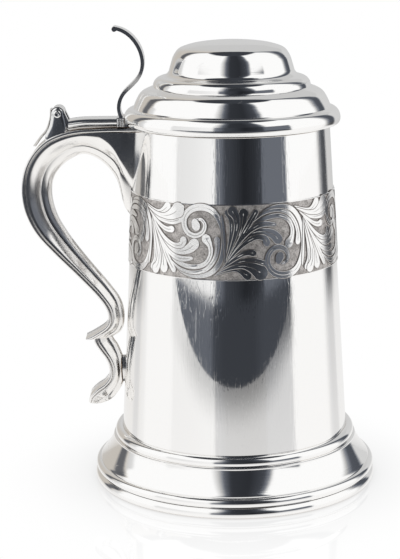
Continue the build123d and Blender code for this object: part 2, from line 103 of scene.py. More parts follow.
class Shading:
    """A node tree while it is being wired."""

    def __init__(self, tree: bpy.types.NodeTree) -> None:
        """Empty the tree.

        Args:
            tree: The material's or world's own node tree.
        """
        self.tree = tree
        tree.nodes.clear()

    def node(self, kind: str, settings: dict | None = None, **sockets: object) -> bpy.types.Node:
        """Add a node, set it up and feed its sockets.

        Args:
            kind: Node type without its ShaderNode prefix.
            settings: Properties of the node.
            **sockets: Socket values or output sockets, keyed by name with _ for a space,
                or by i and a number.

        Returns:
            The new node.
        """
        made = self.tree.nodes.new("ShaderNode" + kind)
        for name, value in (settings or {}).items():
            setattr(made, name, value)
        for name, value in sockets.items():
            key = int(name[1:]) if name[0] == "i" and name[1:].isdigit() else name.replace("_", " ")
            socket = made.inputs[key]
            if isinstance(value, Socket):
                self.tree.links.new(value, socket)
            else:
                socket.default_value = value
        return made

    def math(self, operation: str, *values: object) -> Socket:
        """Add a Math node.

        Args:
            operation: Blender's name of the operation.
            *values: One to three numbers or sockets.

        Returns:
            The result's socket.
        """
        sockets = {f"i{index}": value for index, value in enumerate(values)}
        return self.node("Math", {"operation": operation}, **sockets).outputs[0]

    def step(self, value: Socket, low: float, high: float) -> Socket:
        """Add a smooth step from 0 at low to 1 at high.

        Args:
            value: What is compared.
            low: Where the step begins.
            high: Where the step ends.

        Returns:
            The step's socket.
        """
        smooth = {"interpolation_type": "SMOOTHSTEP"}
        return self.node("MapRange", smooth, Value=value, From_Min=low, From_Max=high).outputs["Result"]

    def mix(self, factor: object, first: object, second: object) -> Socket:
        """Add a colour mix.

        Args:
            factor: Share of the second colour.
            first: Colour or socket at factor 0.
            second: Colour or socket at factor 1.

        Returns:
            The mixed colour's socket.
        """
        return self.node("Mix", {"data_type": "RGBA"}, i0=factor, i6=first, i7=second).outputs[2]

    def parts(self, vector: Socket) -> tuple[Socket, ...]:
        """Split a vector into the sockets of its x, y and z."""
        return tuple(self.node("SeparateXYZ", Vector=vector).outputs)

    def azimuth(self, x: Socket, y: Socket) -> Socket:
        """Add the azimuth of a place or a direction, in radians from -Y towards +X."""
        return self.math("ARCTAN2", x, self.math("MULTIPLY", y, -1.0))

    def round_ramp(self, azimuth: Socket, stops: tuple[Point, ...]) -> Socket:
        """Add a grey colour ramp that runs once round the tankard.

        Args:
            azimuth: The azimuth in radians, from -pi to pi.
            stops: Azimuths in degrees with their grey levels, in order and from end to end.

        Returns:
            The ramp's colour socket.
        """
        made = self.node("ValToRGB", i0=self.math("MULTIPLY_ADD", azimuth, 0.5 / math.pi, 0.5))
        elements = made.color_ramp.elements
        for element, (_, level) in zip((elements[0], elements[-1]), (stops[0], stops[-1])):
            element.color = grey(level)
        for degrees, level in stops[1:-1]:
            elements.new(degrees / 360 + 0.5).color = grey(level)
        return made.outputs["Color"]


def new_material(name: str) -> tuple[bpy.types.Material, Shading]:
    """Make a material with an empty node tree.

    Args:
        name: The material's name.

    Returns:
        The material and its tree.
    """
    made = bpy.data.materials.new(name)
    made.use_nodes = True
    return made, Shading(made.node_tree)


@dataclass(frozen=True)
class Marks:
    """Straight scratches cut from a noise: where it is above a level, there is a scratch.

    They lean from the way that the silver was rubbed, in degrees.
    """

    lean: float
    scale: float
    level: float
    edge: float = 0.05


@dataclass(frozen=True)
class SilverFinish:
    """Polished silver with hairline scratches, a soft bloom and warm tarnish in its corners, which is partly
    painted shade there.
    """

    name: str
    tint: Colour = (0.97, 0.966, 0.958)
    tarnish_and_shade: Colour = (0.30, 0.22, 0.15)
    tarnish_and_shade_reach: float = 1.6
    tarnish_and_shade_share: float = 0.6
    # how open a corner is where its tarnish and painted shade begin and where they are full
    tarnish_and_shade_steps: Point = (0.62, 0.12)
    roughness: Point = (0.03, 0.08)
    hairline_roughness: float = 0.24
    rubbed: Rubbing = Rubbing.NO_WAY
    # strength and height of the bump, and how deep scratches are cut in it beside the streaks
    scratch_depth: float = 0.04
    bump_height: float = 0.1
    scratch_cut: float = 0.5
    # how far the engraved cuts darken, as tarnish and painted shade, and how rough they are
    cut_tarnish_and_shade_share: float = 0.0
    cut_roughness: float = 0.45
    # the bloom's noise, the part of it that goes from clear to dull, and what it adds to the tarnish and
    # painted shade
    bloom_scale: float = 38.0
    bloom_range: Point = (0.3, 1.0)
    bloom_floor: float = 0.5
    streaks: Marks = Marks(0.0, 1500.0, 0.42)
    streak_share: float = 0.3
    scratches: tuple[Marks, Marks] = (Marks(0.0, 620.0, 0.66), Marks(24.0, 420.0, 0.71))

    def mask(self, wires: Shading, marks: Marks) -> Socket:
        """Wire sparse straight scratches that lie round or along the upright axis.

        Args:
            wires: The tree.
            marks: The scratches.

        Returns:
            A mask that is 1 on a scratch.
        """
        x, y, z = wires.parts(wires.node("TexCoord").outputs["Object"])
        across = wires.math("MULTIPLY", wires.azimuth(x, y), MEAN_RADIUS * MM)
        squares = (wires.math("POWER", x, 2.0), wires.math("POWER", y, 2.0))
        away = wires.math("SQRT", wires.math("ADD", *squares))
        spread = wires.node("CombineXYZ", X=across, Y=away, Z=z).outputs[0]
        lean = (0.0, math.radians(marks.lean), 0.0)
        leaned = wires.node("Mapping", Vector=spread, Rotation=lean).outputs[0]
        laid = wires.node("Mapping", Vector=leaned, Scale=self.rubbed.value).outputs[0]
        noise = wires.node("TexNoise", Vector=laid, Scale=marks.scale, Detail=2.0).outputs[0]
        return wires.step(noise, marks.level, marks.level + marks.edge)

    def material(self) -> bpy.types.Material:
        """Wire the finish.

        Returns:
            The material.
        """
        made, wires = new_material(self.name)
        place = wires.node("TexCoord").outputs["Object"]
        bloom = wires.node("TexNoise", Vector=place, Scale=self.bloom_scale, Detail=4.0).outputs[0]
        streaks = self.mask(wires, self.streaks)
        scratches = wires.math("MAXIMUM", *(self.mask(wires, marks) for marks in self.scratches))
        haze = wires.math("MULTIPLY_ADD", streaks, self.streak_share, bloom)
        (low, high), (clear, dull) = self.roughness, self.bloom_range
        base = wires.node("MapRange", Value=haze, From_Min=clear, From_Max=dull, To_Min=low, To_Max=high)
        scratched = wires.math("MULTIPLY", scratches, self.hairline_roughness)
        rough = wires.math("MAXIMUM", base.outputs[0], scratched)
        relief = wires.math("MULTIPLY_ADD", scratches, -self.scratch_cut, streaks)
        bump = wires.node("Bump", Strength=self.scratch_depth, Distance=self.bump_height * MM, Height=relief)
        # tarnish and painted shade: the colour darkens towards the tarnish colour where ambient occlusion
        # finds a corner or crease
        hollow = wires.node("AmbientOcclusion", {"samples": 6}, Distance=self.tarnish_and_shade_reach * MM)
        tarnish_and_shade_mask = wires.step(hollow.outputs["AO"], *self.tarnish_and_shade_steps)
        shade = wires.math("MULTIPLY", tarnish_and_shade_mask, self.tarnish_and_shade_share)
        patchy = wires.math("MULTIPLY", shade, wires.math("ADD", bloom, self.bloom_floor))
        # the engraved cuts: tarnish and painted shade along the edges and in the notch
        if self.cut_tarnish_and_shade_share:
            cut = wires.node("Attribute", {"attribute_name": "cut"}).outputs["Fac"]
            patchy = wires.math("MAXIMUM", patchy, wires.math("MULTIPLY", cut, self.cut_tarnish_and_shade_share))
            rough = wires.math("MAXIMUM", rough, wires.math("MULTIPLY", cut, self.cut_roughness))
        colour = wires.mix(patchy, rgba(self.tint), rgba(self.tarnish_and_shade))
        shader = wires.node("BsdfPrincipled", Metallic=1.0, Base_Color=colour, Roughness=rough,
                            Normal=bump.outputs[0])
        wires.node("OutputMaterial", Surface=shader.outputs[0])
        return made


@dataclass(frozen=True)
class MattedFinish:
    """Silver punched all over with fine dots and toned brown, as the ground of the girdle.

    The dots and a patchy tone share the darkening between them.
    """

    name: str
    light: Colour = (0.76, 0.725, 0.70)
    dark: Colour = (0.07, 0.058, 0.05)
    metal: float = 0.8
    dot_scale: float = 2300.0
    dot_share: float = 0.6
    dot_steps: Point = (0.55, 0.1)
    tone_scale: float = 420.0
    tone_steps: Point = (0.36, 0.66)
    tone_height: float = 0.8
    roughness: Point = (0.36, 0.6)
    bump: float = 0.55
    bump_height: float = 0.14

    def material(self) -> bpy.types.Material:
        """Wire the finish.

        Returns:
            The material.
        """
        made, wires = new_material(self.name)
        place = wires.node("TexCoord").outputs["Object"]
        dots = wires.node("TexVoronoi", Vector=place, Scale=self.dot_scale).outputs["Distance"]
        noise = wires.node("TexNoise", Vector=place, Scale=self.tone_scale, Detail=6.0, Roughness=0.65)
        tone = noise.outputs[0]
        worn = wires.math("MULTIPLY", wires.step(tone, *self.tone_steps), 1 - self.dot_share)
        share = wires.math("MULTIPLY_ADD", wires.step(dots, *self.dot_steps), self.dot_share, worn)
        colour = wires.mix(share, rgba(self.light), rgba(self.dark))
        low, high = self.roughness
        rough = wires.node("MapRange", Value=tone, To_Min=low, To_Max=high).outputs[0]
        relief = wires.math("MULTIPLY_ADD", tone, self.tone_height, dots)
        bump = wires.node("Bump", Strength=self.bump, Distance=self.bump_height * MM, Height=relief)
        shader = wires.node("BsdfPrincipled", Metallic=self.metal, Base_Color=colour, Roughness=rough,
                            Normal=bump.outputs[0])
        wires.node("OutputMaterial", Surface=shader.outputs[0])
        return made


class Finishes:
    """The tankard's finishes, made once and shared by its pieces."""

    def __init__(self) -> None:
        """Make each material."""
        self.body = SilverFinish("drum_silver", roughness=(0.015, 0.05), rubbed=Rubbing.UPRIGHT,
                                 hairline_roughness=0.11, scratch_depth=0.055).material()
        self.turned = SilverFinish("turned_silver", rubbed=Rubbing.ROUND).material()
        self.wrought = SilverFinish("wrought_silver", tint=(0.955, 0.943, 0.925), tarnish_and_shade_reach=2.4,
                                    tarnish_and_shade_share=0.9, roughness=(0.10, 0.20), hairline_roughness=0.2,
                                    scratch_depth=0.008).material()
        self.fittings = SilverFinish("fitting_silver", tarnish_and_shade_share=0.8, roughness=(0.07, 0.18),
                                     hairline_roughness=0.2, scratch_depth=0.02).material()
        self.leaves = SilverFinish("leaf_silver", tarnish_and_shade=(0.11, 0.085, 0.07), tarnish_and_shade_share=0.2,
                                   roughness=(0.07, 0.15), cut_tarnish_and_shade_share=0.9).material()
        self.ground = MattedFinish("matted_ground").material()
        self.inside = SilverFinish("inside_silver", tint=(0.9, 0.87, 0.82),
                                   roughness=(0.18, 0.32)).material()


def publish(mesh: bmesh.types.BMesh, name: str, finish: bpy.types.Material, body: str,
            stands_for: tuple[str, ...] = (), crease: float = 32.0) -> bpy.types.Object:
    """Turn a finished bmesh into a piece that rides on its body.

    Args:
        mesh: The piece in metres, freed here.
        name: The piece's name.
        finish: Its material.
        body: The body that carries it.
        stands_for: CAD nodes that it replaces.
        crease: Edges that turn more than this many degrees are shaded sharp.

    Returns:
        The piece.
    """
    data = bpy.data.meshes.new(name)
    mesh.to_mesh(data)
    mesh.free()
    data.shade_smooth()
    data.set_sharp_from_angle(angle=math.radians(crease))
    data.materials.append(finish)
    piece = bpy.data.objects.new(name, data)
    bpy.context.scene.collection.objects.link(piece)
    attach(piece, body)
    if stands_for:
        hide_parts(*stands_for)
    LOG.info("%s: %d faces on %s", name, len(data.polygons), body)
    return piece


def dress(finish: bpy.types.Material, *nodes: str) -> None:
    """Give CAD nodes that stay in view their finish.

    Args:
        finish: The material.
        *nodes: Names of the nodes.
    """
    for name in nodes:
        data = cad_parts[name].data
        data.materials.clear()
        data.materials.append(finish)
        LOG.info("%s keeps its solid, in %s", name, finish.name)


def held(value: float) -> float:
    """Return the value, kept between 0 and 1."""
    return max(0.0, min(1.0, value))


def arc_through(start: Point, middle: Point, end: Point, steps: int = 12) -> Profile:
    """Return points along the circle through three points.

    Args:
        start: First point.
        middle: A point on the way.
        end: Last point.
        steps: Number of equal parts.

    Returns:
        The points, both ends included.
    """
    (ax, ay), (bx, by), (cx, cy) = start, middle, end
    twice = 2 * (ax * (by - cy) + bx * (cy - ay) + cx * (ay - by))
    squares = (ax * ax + ay * ay, bx * bx + by * by, cx * cx + cy * cy)
    ox = (squares[0] * (by - cy) + squares[1] * (cy - ay) + squares[2] * (ay - by)) / twice
    oy = (squares[0] * (cx - bx) + squares[1] * (ax - cx) + squares[2] * (bx - ax)) / twice
    radius = math.dist((ox, oy), start)
    first, second, third = (math.atan2(y - oy, x - ox) for x, y in (start, middle, end))
    turn = 2 * math.pi
    sweep = (third - first) % turn
    if (second - first) % turn > sweep:
        sweep -= turn
    angles = [first + sweep * i / steps for i in range(steps + 1)]
    return [(ox + radius * math.cos(angle), oy + radius * math.sin(angle)) for angle in angles]


def on_curve(before: float, start: float, end: float, after: float, t: float) -> float:
    """Return the value at share t between start and end on the smooth curve through all four."""
    second = 2 * before - 5 * start + 4 * end - after
    third = 3 * start - before - 3 * end + after
    return 0.5 * (2 * start + (end - before) * t + second * t * t + third * t ** 3)


def smooth_through(points: Profile, steps: int = 6) -> Profile:
    """Return a smooth curve through points.

    Args:
        points: The points that it passes.
        steps: Number of parts between two points.

    Returns:
        The curve's points, both ends included.
    """
    ends = [points[0], *points, points[-1]]
    curve = []
    for four in zip(ends, ends[1:], ends[2:], ends[3:]):
        curve += [tuple(on_curve(*values, i / steps) for values in zip(*four)) for i in range(steps)]
    curve.append(points[-1])
    return curve


def normals(trail: Profile) -> list[Point]:
    """Return a unit normal for each point of a curve, to the left of its way."""
    found = []
    for (ax, ay), (bx, by) in zip([trail[0], *trail], [*trail[1:], trail[-1]]):
        run = math.dist((ax, ay), (bx, by))
        found.append((-(by - ay) / run, (bx - ax) / run))
    return found


def both_sides(side: Profile) -> Profile:
    """Return a closed section from one half of it, which starts and ends on the middle line."""
    return side + [(-across, up) for across, up in side[-2:0:-1]] + side[:1]


def held_line(start: Point, end: Point, hold: float = 0.12) -> Profile:
    """Return a straight run with an extra point close to each end, so that its shading stays flat.

    Args:
        start: First point.
        end: Last point.
        hold: Distance of the extra points from the ends.

    Returns:
        The four points.
    """
    share = min(hold / math.dist(start, end), 0.3)
    return [tuple(s + (e - s) * t for s, e in zip(start, end)) for t in (0, share, 1 - share, 1)]


def lay_grid(mesh: bmesh.types.BMesh, rows: list[list[Vector]]) -> list[bmesh.types.BMVert]:
    """Bend a grid through rows of points.

    Args:
        mesh: Receives the grid.
        rows: The rows, all of one length, in metres.

    Returns:
        The grid's corners, row by row.
    """
    wide = len(rows[0])
    corners = bmesh.ops.create_grid(mesh, x_segments=wide - 1, y_segments=len(rows) - 1, size=1)["verts"]
    for number, corner in enumerate(corners):
        corner.co = rows[number // wide][number % wide]
    return corners


def loft(rings: list[list[Vector]]) -> bmesh.types.BMesh:
    """Skin closed rings and close both ends.

    Args:
        rings: Rings whose last point is their first, in metres.

    Returns:
        The closed mesh.
    """
    made = bmesh.new()
    lay_grid(made, rings)
    bmesh.ops.remove_doubles(made, verts=made.verts, dist=1e-6)
    bmesh.ops.holes_fill(made, edges=[edge for edge in made.edges if edge.is_boundary])
    bmesh.ops.recalc_face_normals(made, faces=made.faces)
    return made


@dataclass
class Turning:
    """A shape turned about the upright axis."""

    outline: Profile
    closed: bool = True
    segments: int = SEGMENTS

    def mesh(self) -> bmesh.types.BMesh:
        """Spin the outline.

        Returns:
            The turned mesh, in metres, with its normals outward.
        """
        made = bmesh.new()
        trail = [self.outline[0]]
        for point in self.outline[1:]:
            if math.dist(point, trail[-1]) > SAME_POINT:
                trail.append(point)
        if self.closed and math.dist(trail[0], trail[-1]) < SAME_POINT:
            trail.pop()
        corners = [made.verts.new((radius * MM, 0, height * MM)) for radius, height in trail]
        edges = [made.edges.new(pair) for pair in zip(corners, corners[1:])]
        if self.closed:
            edges.append(made.edges.new((corners[-1], corners[0])))
        bmesh.ops.spin(
            made, geom=corners + edges, cent=(0, 0, 0), axis=(0, 0, 1), dvec=(0, 0, 0),
            angle=2 * math.pi, steps=self.segments, use_merge=True, use_duplicate=False,
        )
        bmesh.ops.remove_doubles(made, verts=made.verts, dist=1e-7)
        bmesh.ops.recalc_face_normals(made, faces=made.faces)
        return made


@dataclass
class Drum:
    """The tapering body with its floor."""

    rim_z: float = 157.5
    low_z: float = 14.0
    joint_z: float = 23.3
    joint_radius: float = 50.1
    taper: float = 0.0583
    wall: float = 1.4
    mouth_softening: float = 0.5

    def radius(self, height: float) -> float:
        """Return the outer radius at a height."""
        return self.joint_radius - self.taper * (height - self.joint_z)

    def build(self, finishes: Finishes) -> None:
        """Turn the drum and dress the floor.

        Args:
            finishes: The tankard's finishes.
        """
        outer, soft = self.radius(self.rim_z), self.mouth_softening
        inner, shoulder, middle = outer - self.wall, self.rim_z - soft, QUARTER_MIDDLE * soft
        outline = held_line((self.radius(self.low_z), self.low_z), (outer, shoulder))
        outline += arc_through((outer, shoulder), (outer - middle, self.rim_z - middle),
                               (outer - soft, self.rim_z), 5)
        outline += arc_through((inner + soft, self.rim_z), (inner + middle, self.rim_z - middle),
                               (inner, shoulder), 5)
        outline += held_line((inner, shoulder), (self.radius(self.low_z) - self.wall, self.low_z))
        publish(Turning(outline).mesh(), "drum_wall", finishes.body, "vessel", ("drum",))
        dress(finishes.inside, "base_disc")


@dataclass
class Foot:
    """The spreading foot: collar, skirt, half-round moulding and bottom wire."""

    drum: Drum
    collar_low_z: float = 18.5
    skirt_low_z: float = 8.4
    moulding_low_z: float = 4.25
    wall: float = 1.4
    radius: float = 62.8

    def collar(self) -> Profile:
        """Return the outline of the bead and the small fillet under it."""
        joint = (self.drum.radius(self.drum.joint_z), self.drum.joint_z)
        bead = arc_through(joint, (53.2, 22.0), (53.1, 19.5), 18)
        return bead + [
            (53.6, 19.35), (54.0, 19.25), (54.2, 19.05), (54.2, self.collar_low_z + 0.1),
            (54.1, self.collar_low_z), (self.drum.radius(self.collar_low_z), self.collar_low_z),
        ]

    def skirt(self) -> Profile:
        """Return the outline of the spreading sheet."""
        flange = self.collar_low_z - self.wall
        return [
            (self.drum.radius(self.collar_low_z), self.collar_low_z),
            *arc_through((54.1, self.collar_low_z), (56.6, 13.7), (60.0, 9.3), 24),
            (60.2, 9.0), (60.2, self.skirt_low_z), (58.5, self.skirt_low_z),
            *arc_through((58.5, self.skirt_low_z), (55.1, 13.1), (53.0, flange), 12),
            (self.drum.radius(flange), flange),
        ]

    def moulding(self) -> Profile:
        """Return the outline of the half-round moulding."""
        return [
            (58.4, self.skirt_low_z), (60.3, self.skirt_low_z),
            *arc_through((60.7, self.skirt_low_z - 0.05), (62.4, 6.4), (61.0, self.moulding_low_z), 18),
            (58.4, self.moulding_low_z),
        ]

    def bottom_wire(self) -> Profile:
        """Return the outline of the wire that stands on the table."""
        return [
            (58.2, self.moulding_low_z), (61.4, self.moulding_low_z), (61.7, 4.0), (62.0, 3.6),
            *arc_through((62.0, 3.6), (self.radius, 1.7), (62.3, 0.25), 14),
            (61.8, 0), (58.5, 0), (58.2, 0.3),
        ]

    def build(self, finishes: Finishes) -> None:
        """Turn the four rings.

        Args:
            finishes: The tankard's finishes.
        """
        rings = {"foot_bead": (self.collar(), "foot_collar"), "foot_spread": (self.skirt(), "foot_skirt"),
                 "foot_half_round": (self.moulding(), "foot_rim_moulding"),
                 "foot_wire": (self.bottom_wire(), "foot_base_wire")}
        for name, (outline, node) in rings.items():
            publish(Turning(outline).mesh(), name, finishes.turned, "vessel", (node,))


@dataclass
class Lid:
    """The stepped lid with its brim."""

    bottom_z: float = 157.8
    wall: float = 1.3
    bezel_inner_radius: float = 39.326
    foot_radius: float = 42.6
    brim_radius: float = 46.8
    brim_top_z: float = 165.5
    top_z: float = 193.9

    def brim(self) -> Profile:
        """Return the outline of the heavy brim."""
        inner, floor = self.foot_radius - self.wall, self.bottom_z + self.wall
        return [
            (self.bezel_inner_radius, self.bottom_z), (43.0, self.bottom_z),
            *smooth_through([(43.2, self.bottom_z), (44.9, 158.1), (46.3, 158.9), (self.brim_radius, 160.4),
                             (46.65, 162.0), (46.2, 163.2), (45.5, 164.2), (44.9, 164.7), (44.2, 165.05),
                             (43.3, 165.3), (self.foot_radius, self.brim_top_z)], 6),
            (inner, self.brim_top_z), (inner, floor), (self.bezel_inner_radius, floor),
        ]

    def cover(self) -> Profile:
        """Return the outline of the stepped cover, from the crown out and back inside."""
        outside = smooth_through([(0, self.top_z), (5.8, 193.8), (11.6, 193.3), (16.4, 192.6), (20.4, 191.5),
                                  (22.6, 190.5), (23.9, 189.2), (24.9, 187.6), (25.5, 186.2), (26.3, 183.6),
                                  (27.0, 181.1)], 5)
        outside += arc_through((27.0, 181.1), (28.3, 179.5), (30.4, 178.7), 8)
        outside += arc_through((30.4, 178.7), (33.1, 177.1), (34.0, 174.4), 12)
        outside += smooth_through([(34.0, 174.4), (36.3, 173.55), (38.2, 172.65), (39.3, 171.85),
                                   (40.15, 170.8), (41.15, 169.0), (41.95, 167.3),
                                   (self.foot_radius, self.brim_top_z)], 5)
        inside = smooth_through([(self.foot_radius - self.wall, self.brim_top_z), (40.3, 168.4),
                                 (37.6, 171.0), (33.0, 173.3)], 4)
        inside += arc_through((33.0, 173.3), (32.0, 176.2), (29.8, 177.5), 8)
        inside += arc_through((29.8, 177.5), (27.4, 178.5), (25.8, 180.6), 8)
        inside += smooth_through([(25.8, 180.6), (24.3, 185.8), (22.9, 188.3), (19.9, 190.2), (11.4, 192.0),
                                  (0, self.top_z - self.wall)], 4)
        return outside + inside

    def build(self, finishes: Finishes) -> None:
        """Turn the brim and the cover and dress the bezel.

        Args:
            finishes: The tankard's finishes.
        """
        publish(Turning(self.brim()).mesh(), "lid_brim", finishes.turned, "lid",
                ("lid_brim_moulding",))
        publish(Turning(self.cover(), closed=False).mesh(), "lid_steps", finishes.turned, "lid",
                ("lid_cover",))
        dress(finishes.inside, "lid_bezel")


@dataclass
class Strand:
    """One leaf or stem of the girdle, by its middle line and half widths.

    The line runs in millimetres along the girdle from its front, and in height above the table. The
    half widths stand at equal parts of the line. A cut leaf has a notch engraved along the middle of
    its outer half.
    """

    line: Profile
    halves: tuple[float, ...]
    cut: bool = True
    level: int = 0


@dataclass
class Girdle:
    """The engraved girdle: a matted ground with a running scroll of acanthus leaves."""

    drum: Drum
    low_z: float = 98.5
    high_z: float = 130.2
    proud: float = 0.45
    ground_sink: float = 0.25
    border: float = 0.5
    repeats: int = 8
    # the lowest layer's height over the ground, and the height between two layers
    leaf_lift: float = 0.27
    level_lift: float = 0.07
    # how deep the leaves are rooted in the ground, and how far their shoulder stands over the layer below
    root: float = -0.06
    shoulder: float = 0.008
    # widths of the cut along an edge and of the slope beside it
    cut_width: float = 0.20
    slope_width: float = 0.17
    # greatest share of the half width for both together, and how dark the cut is painted along its inner
    # side, as tarnish and painted shade
    edge_share: float = 0.8
    cut_tarnish_and_shade_tone: float = 0.9
    # the notch's half width, its greatest share of the leaf's, its depth, and the shares of the line
    # where it deepens and where it fades
    notch_half: float = 0.12
    notch_share: float = 0.3
    notch_depth: float = 0.14
    notch_from: float = 0.35
    notch_run: float = 0.3
    notch_fade: float = 0.1
    # how much wider the leaves are than their stated half widths
    fullness: float = 1.22
    cap_steps: int = 4
    cap_tip: float = 0.02

    def strands(self) -> list[Strand]:
        """Return the leaves and stems of one scroll, where neighbours take turns between two levels."""
        return [
            # narrow leaves that hang from the neck to the lower border
            Strand([(-40.4, 122.5), (-40.6, 114), (-41.2, 107), (-41.8, 103.2)],
                   (0.4, 0.65, 0.75, 0.5), False, 1),
            Strand([(-40.2, 122), (-38.4, 114), (-37.6, 108), (-38.0, 104.6), (-39.3, 102.0)],
                   (0.4, 0.8, 1.0, 1.0, 1.25)),
            Strand([(-39.8, 121.5), (-36.9, 113.5), (-35.4, 108), (-35.6, 104), (-37.2, 101.3)],
                   (0.4, 0.8, 1.1, 1.4, 1.9), level=1),
            Strand([(-39.4, 121), (-35.2, 113), (-33.3, 107.5), (-32.5, 102.3)], (0.4, 0.95, 1.35, 1.95)),
            Strand([(-38.8, 120.5), (-33.6, 112), (-30.2, 106.5), (-27.3, 102.0)],
                   (0.4, 0.85, 1.2, 1.2), level=1),
            # upper leaves that fan out towards the volute
            Strand([(-44.5, 127.9), (-40, 126.1), (-36.3, 125.4), (-33.7, 126.2), (-31.4, 127.9)],
                   (0.4, 0.8, 1.0, 1.3, 1.8)),
            Strand([(-43.6, 127.0), (-38, 124.8), (-33, 124.1), (-29.0, 125.0), (-25.8, 127.0)],
                   (0.4, 0.8, 1.1, 2.0, 2.9), level=1),
            Strand([(-43, 126.4), (-38, 123.5), (-33, 122.2), (-28, 122.2), (-24.4, 123.5)],
                   (0.4, 0.8, 1.0, 1.3, 1.4)),
            Strand([(-42, 125.2), (-38, 122.1), (-34, 119.6), (-31, 118.6), (-28.8, 118.8)],
                   (0.4, 0.75, 0.95, 1.1, 1.4), level=1),
            # leaves in the bend under the volute
            Strand([(-37, 117.6), (-31.5, 110.8), (-27, 107.7), (-23, 106.9), (-19.0, 107.4)],
                   (0.4, 0.9, 1.1, 1.15, 0.85), level=1),
            Strand([(-38.4, 120), (-33, 113.3), (-29, 110.6), (-24, 110.0), (-20, 111.3), (-17.7, 113.4)],
                   (0.4, 0.9, 1.1, 1.3, 1.8, 2.1)),
            Strand([(-40, 123), (-35, 117.2), (-31, 114.0), (-27, 112.3), (-23.8, 112.7), (-22.7, 114.5)],
                   (0.4, 0.8, 0.95, 1.05, 1.3, 1.6), level=1),
            # the stem: it sweeps under the leaves, up the right side and round the volute
            Strand([(-30, 108.6), (-26, 105.7), (-21, 104.1), (-16, 104.1), (-12.2, 106), (-10.4, 109.5),
                    (-10.6, 112.9), (-12.2, 115.7)], (0.35, 0.85, 1.0, 1.0, 1.0, 1.0, 1.1, 1.9)),
            Strand([(-29, 106.0), (-24, 102.6), (-18, 101.5), (-12.5, 103), (-9, 107), (-7.5, 111.5),
                    (-7.6, 115.4)], (0.35, 0.7, 0.8, 0.9, 0.95, 1.0, 1.35), level=1),
            Strand([(-28, 104.4), (-22, 101.0), (-16, 100.1), (-10.3, 101.7), (-6.4, 106.5), (-4.9, 113),
                    (-5.1, 119), (-7.2, 124.8), (-10.4, 128.0), (-15, 129.0), (-19.4, 127.7), (-22.1, 124.6),
                    (-22.3, 120.8), (-20.2, 117.8), (-16.8, 117.0), (-13.8, 118.7), (-12.9, 121.6),
                    (-14.3, 123.7), (-16.4, 123.9)],
                   (0.35, 0.75, 0.95, 1.05, 1.05, 0.95, 1.0, 1.2, 1.35, 1.4, 1.4, 1.35, 1.25, 1.15, 1.05,
                    1.0, 0.9, 0.8, 0.6)),
            Strand([(-17.3, 122.3), (-17.0, 121.5), (-16.9, 121.2)], (1.6, 1.8, 1.85), False, 1),
        ]

    def place(self, along: float, height: float, lift: float) -> Vector:
        """Put an unrolled point on the cone.

        Args:
            along: Millimetres along the girdle from azimuth 0, which faces -Y.
            height: Millimetres above the table.
            lift: Millimetres out from the girdle's ground.

        Returns:
            The point in metres.
        """
        radius = self.drum.radius(height) + self.proud - self.ground_sink + lift
        turn = along / MEAN_RADIUS
        return Vector((radius * math.sin(turn), -radius * math.cos(turn), height)) * MM

    def stations(self, strand: Strand) -> list[tuple[Point, Point, float, float]]:
        """Work out the cross lines of a strand, with a round cap at each end.

        Args:
            strand: The strand.

        Returns:
            For each cross line its middle, its direction, its half width and how deep the notch is.
        """
        trail = smooth_through(strand.line, 4)
        lines = []
        for index, (point, normal) in enumerate(zip(trail, normals(trail))):
            share = index / (len(trail) - 1)
            spot = share * (len(strand.halves) - 1)
            low = min(int(spot), len(strand.halves) - 2)
            half = strand.halves[low] + (strand.halves[low + 1] - strand.halves[low]) * (spot - low)
            deepens, fades = (share - self.notch_from) / self.notch_run, (1.0 - share) / self.notch_fade
            depth = held(min(deepens, fades)) if strand.cut else 0.0
            lines.append((point, normal, half * self.fullness, depth))
        for end, way in ((0, -1), (-1, 1)):
            (x, y), normal, half, _ = lines[end]
            caps = []
            for step in range(1, self.cap_steps + 1):
                turn = step / self.cap_steps * math.pi / 2
                reach = way * half * math.sin(turn)
                place = (x + normal[1] * reach, y - normal[0] * reach)
                caps.append((place, normal, half * max(math.cos(turn), self.cap_tip), 0.0))
            lines = caps[::-1] + lines if end == 0 else lines + caps
        return lines

    def relief(self, mesh: bmesh.types.BMesh, strand: Strand, unit: int) -> None:
        """Add one strand to the mesh: a grid bent along its line, cut away at its edges.

        Args:
            mesh: Receives the strand. Its float layer "cut" marks the engraved edges and the notch, which
                the leaf finish darkens with tarnish and painted shade.
            strand: What to draw.
            unit: Number of the scroll round the girdle. Odd ones stand upside down.
        """
        shift = unit * 2 * math.pi / self.repeats * MEAN_RADIUS
        root, tone = self.root, self.cut_tarnish_and_shade_tone
        top = self.leaf_lift + self.level_lift * strand.level
        rim = top - self.level_lift + self.shoulder
        mark = mesh.verts.layers.float["cut"]
        rows, marks = [], []
        lines = self.stations(strand)
        for number, ((x, y), (nx, ny), half, depth) in enumerate(lines):
            edge = self.cut_width + self.slope_width
            scale = min(1.0, self.edge_share * half / edge)
            cut, slope = self.cut_width * scale / half, edge * scale / half
            notch = min(self.notch_half / half, self.notch_share)
            sides = (-1.0, -0.999, cut - 1, slope - 1, -notch, 0.0, notch, 1 - slope, 1 - cut, 0.999, 1.0)
            lifts = (root, rim, rim, top, top, top - self.notch_depth * depth, top, top, rim, rim, root)
            if number in (0, len(lines) - 1):
                lifts = (root,) * len(sides)
            row = []
            for side, lift in zip(sides, lifts):
                height = y + ny * half * side
                if unit % 2:
                    height = self.low_z + self.high_z - height
                row.append(self.place(x + nx * half * side + shift, height, lift))
            rows.append(row)
            # how dark each point is painted: tarnish and painted shade along the cut edges and in the notch
            marks += (1, 1, tone, 0, 0, depth, 0, 0, tone, 1, 1)
        corners = lay_grid(mesh, rows)
        for corner, dark in zip(corners, marks):
            corner[mark] = dark
        if unit % 2:
            faces = {face for corner in corners for face in corner.link_faces}
            bmesh.ops.reverse_faces(mesh, faces=list(faces))

